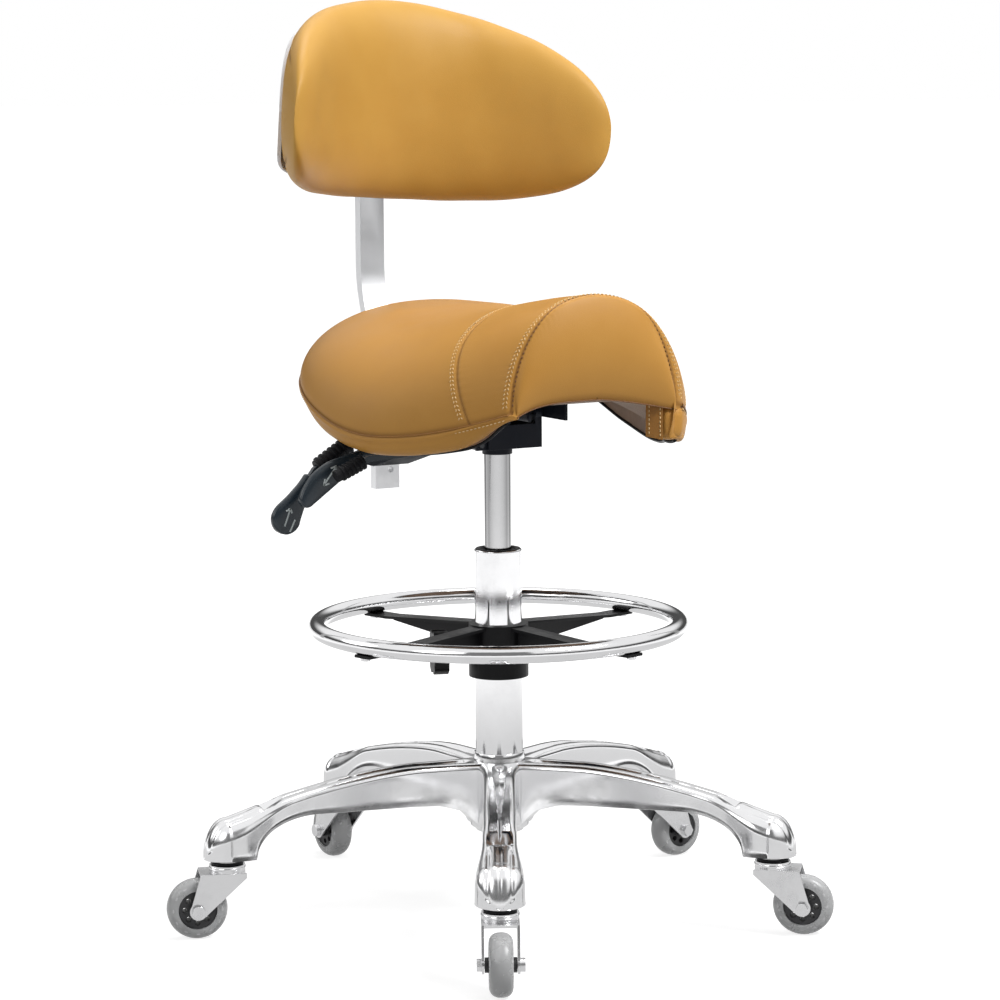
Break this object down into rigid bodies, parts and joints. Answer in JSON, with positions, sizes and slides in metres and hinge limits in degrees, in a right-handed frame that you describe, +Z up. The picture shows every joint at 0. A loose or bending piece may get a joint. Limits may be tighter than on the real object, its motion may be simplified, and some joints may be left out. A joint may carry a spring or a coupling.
{
  "type": "swivel stool",
  "caption": "Swivel work stool with a tan leather saddle seat, wrap-round back rest on a bar, paddle levers, foot ring, chrome gas column and polished star base on casters.",
  "frame": {"origin": "on the floor, on the axis of the column", "axes": "+Z up along the column; the rider faces -Y; +X is to the left of the rider, and the levers are on the -X side"},
  "size_m": [0.6861, 0.6748, 0.966],
  "materials": {
    "polished_alloy": "polished",
    "chrome": "polished",
    "zinc_steel": "bright zinc",
    "black_plastic": "fine grain",
    "black_paint": "satin",
    "navy_paint": "satin",
    "navy_plastic": "satin",
    "silver_paint": "satin",
    "white_plastic": "satin",
    "grey_plastic": "satin",
    "clear_grey_tyre": "translucent",
    "black_rubber": "ribbed",
    "lining_cloth": "plain weave",
    "tan_leather": "semi-gloss"
  },
  "bodies": {
    "base": {"base_casting": "polished_alloy", "column_tube": "chrome", "guide_bush": "black_plastic", "column_floor": "zinc_steel", "bearing_balls": "zinc_steel", "caster_stems": "zinc_steel"},
    "foot_ring": {"ring_tube": "chrome", "ring_spider": "black_paint", "ring_screws": "zinc_steel"},
    "ring_knob": {"ring_clamp_knob": "black_plastic"},
    "gas_spring_rod": {"gas_rod": "zinc_steel", "gas_piston": "black_plastic", "retaining_clip": "zinc_steel", "bearing_race": "zinc_steel", "bump_stop": "black_rubber"},
    "lift": {"gas_tube": "chrome", "housing": "navy_paint", "lever_shaft": "zinc_steel", "hinge_pins": "zinc_steel"},
    "release": {"release_pin": "zinc_steel"},
    "seat": {"seat_plate": "navy_paint", "seat_screws": "zinc_steel", "seat_shell": "black_plastic", "seat_lining": "lining_cloth", "seat_cushion": "tan_leather"},
    "back_arm": {"back_bracket": "navy_paint"},
    "bar_knob": {"bar_clamp_knob": "black_plastic"},
    "bar": {"back_bar": "silver_paint"},
    "back_rest": {"pad_hinge_pin": "zinc_steel", "pad_bracket": "navy_paint", "pad_screws": "zinc_steel", "pad_shell": "white_plastic", "pad_cushion": "tan_leather"},
    "height_control": {"height_lever": "navy_paint", "height_paddle": "navy_plastic"},
    "tilt_control": {"tilt_lever": "navy_paint", "tilt_paddle": "navy_plastic", "tilt_boot": "black_rubber"},
    "recline_control": {"recline_lever": "navy_paint", "recline_grip": "black_rubber"},
    "fork_1": {"caster_fork_1": "zinc_steel", "caster_axle_1": "zinc_steel"},
    "wheel_1": {"caster_hub_1": "grey_plastic", "caster_tyre_1": "clear_grey_tyre"},
    "fork_2": {"caster_fork_2": "zinc_steel", "caster_axle_2": "zinc_steel"},
    "wheel_2": {"caster_hub_2": "grey_plastic", "caster_tyre_2": "clear_grey_tyre"},
    "fork_3": {"caster_fork_3": "zinc_steel", "caster_axle_3": "zinc_steel"},
    "wheel_3": {"caster_hub_3": "grey_plastic", "caster_tyre_3": "clear_grey_tyre"},
    "fork_4": {"caster_fork_4": "zinc_steel", "caster_axle_4": "zinc_steel"},
    "wheel_4": {"caster_hub_4": "grey_plastic", "caster_tyre_4": "clear_grey_tyre"},
    "fork_5": {"caster_fork_5": "zinc_steel", "caster_axle_5": "zinc_steel"},
    "wheel_5": {"caster_hub_5": "grey_plastic", "caster_tyre_5": "clear_grey_tyre"}
  },
  "joints": [
    {"name": "foot_ring_height", "type": "slide", "parent": "base", "child": "foot_ring", "axis": [0, 0, 1], "range_m": [-0.07, 0.06]},
    {"name": "ring_knob_turn", "type": "hinge", "parent": "foot_ring", "child": "ring_knob", "pos_m": [-0.05638, 0.02052, 0.2836], "axis": [-0.9397, 0.342, 0], "range_deg": [0, 270]},
    {"name": "seat_swivel", "type": "hinge", "parent": "base", "child": "gas_spring_rod", "pos_m": [0, 0, 0.3], "axis": [0, 0, 1], "continuous": true},
    {"name": "seat_height", "type": "slide", "parent": "gas_spring_rod", "child": "lift", "axis": [0, 0, 1], "range_m": [-0.085, 0.1]},
    {"name": "release_press", "type": "slide", "parent": "lift", "child": "release", "axis": [0, 0, 1], "range_m": [-0.002, 0]},
    {"name": "seat_tilt", "type": "hinge", "parent": "lift", "child": "seat", "pos_m": [0, -0.03, 0.538], "axis": [1, 0, 0], "range_deg": [0, 10]},
    {"name": "back_recline", "type": "hinge", "parent": "lift", "child": "back_arm", "pos_m": [0, 0.052, 0.513], "axis": [1, 0, 0], "range_deg": [-8, 4]},
    {"name": "back_height", "type": "slide", "parent": "back_arm", "child": "bar", "axis": [0, 0, 1], "range_m": [-0.05, 0.02]},
    {"name": "bar_knob_turn", "type": "hinge", "parent": "back_arm", "child": "bar_knob", "pos_m": [0, 0.27, 0.472], "axis": [0, 1, 0], "range_deg": [0, 270]},
    {"name": "back_rest_tilt", "type": "hinge", "parent": "bar", "child": "back_rest", "pos_m": [0, 0.28, 0.804], "axis": [1, 0, 0], "range_deg": [-8, 8]},
    {"name": "height_lever_lift", "type": "hinge", "parent": "lift", "child": "height_control", "pos_m": [-0.0385, 0, 0.506], "axis": [0, 1, 0], "range_deg": [0, 3], "stiffness_Nm_per_rad": 6, "springref_deg": -1.72},
    {"name": "tilt_lever_lift", "type": "hinge", "parent": "lift", "child": "tilt_control", "pos_m": [-0.0385, 0.028, 0.506], "axis": [0, 1, 0], "range_deg": [0, 3], "stiffness_Nm_per_rad": 6, "springref_deg": -1.72},
    {"name": "recline_lever_lift", "type": "hinge", "parent": "lift", "child": "recline_control", "pos_m": [-0.0385, -0.024, 0.506], "axis": [0, 1, 0], "range_deg": [0, 2.5], "stiffness_Nm_per_rad": 6, "springref_deg": -1.72},
    {"name": "caster_swivel_1", "type": "hinge", "parent": "base", "child": "fork_1", "pos_m": [-0.1485, -0.25721, 0.08], "axis": [0, 0, 1], "continuous": true},
    {"name": "wheel_roll_1", "type": "hinge", "parent": "fork_1", "child": "wheel_1", "pos_m": [-0.16401, -0.2852, 0.0315], "axis": [0.8746, -0.4848, 0], "continuous": true},
    {"name": "caster_swivel_2", "type": "hinge", "parent": "base", "child": "fork_2", "pos_m": [0.19873, -0.22071, 0.08], "axis": [0, 0, 1], "continuous": true},
    {"name": "wheel_roll_2", "type": "hinge", "parent": "fork_2", "child": "wheel_2", "pos_m": [0.22324, -0.24128, 0.0315], "axis": [0.6428, 0.766, 0], "continuous": true},
    {"name": "caster_swivel_3", "type": "hinge", "parent": "base", "child": "fork_3", "pos_m": [0.27132, 0.1208, 0.08], "axis": [0, 0, 1], "continuous": true},
    {"name": "wheel_roll_3", "type": "hinge", "parent": "fork_3", "child": "wheel_3", "pos_m": [0.30301, 0.12525, 0.0315], "axis": [-0.1392, 0.9903, 0], "continuous": true},
    {"name": "caster_swivel_4", "type": "hinge", "parent": "base", "child": "fork_4", "pos_m": [-0.03104, 0.29537, 0.08], "axis": [0, 0, 1], "continuous": true},
    {"name": "wheel_roll_4", "type": "hinge", "parent": "fork_4", "child": "wheel_4", "pos_m": [-0.0316, 0.32737, 0.0315], "axis": [-0.9998, -0.0175, 0], "continuous": true},
    {"name": "caster_swivel_5", "type": "hinge", "parent": "base", "child": "fork_5", "pos_m": [-0.29051, 0.06175, 0.08], "axis": [0, 0, 1], "continuous": true},
    {"name": "wheel_roll_5", "type": "hinge", "parent": "fork_5", "child": "wheel_5", "pos_m": [-0.32058, 0.07269, 0.0315], "axis": [-0.342, -0.9397, 0], "continuous": true}
  ],
  "couplings": [
    {"joint": "release_press", "follows": "height_lever_lift", "m_per_rad": -0.038}
  ]
}
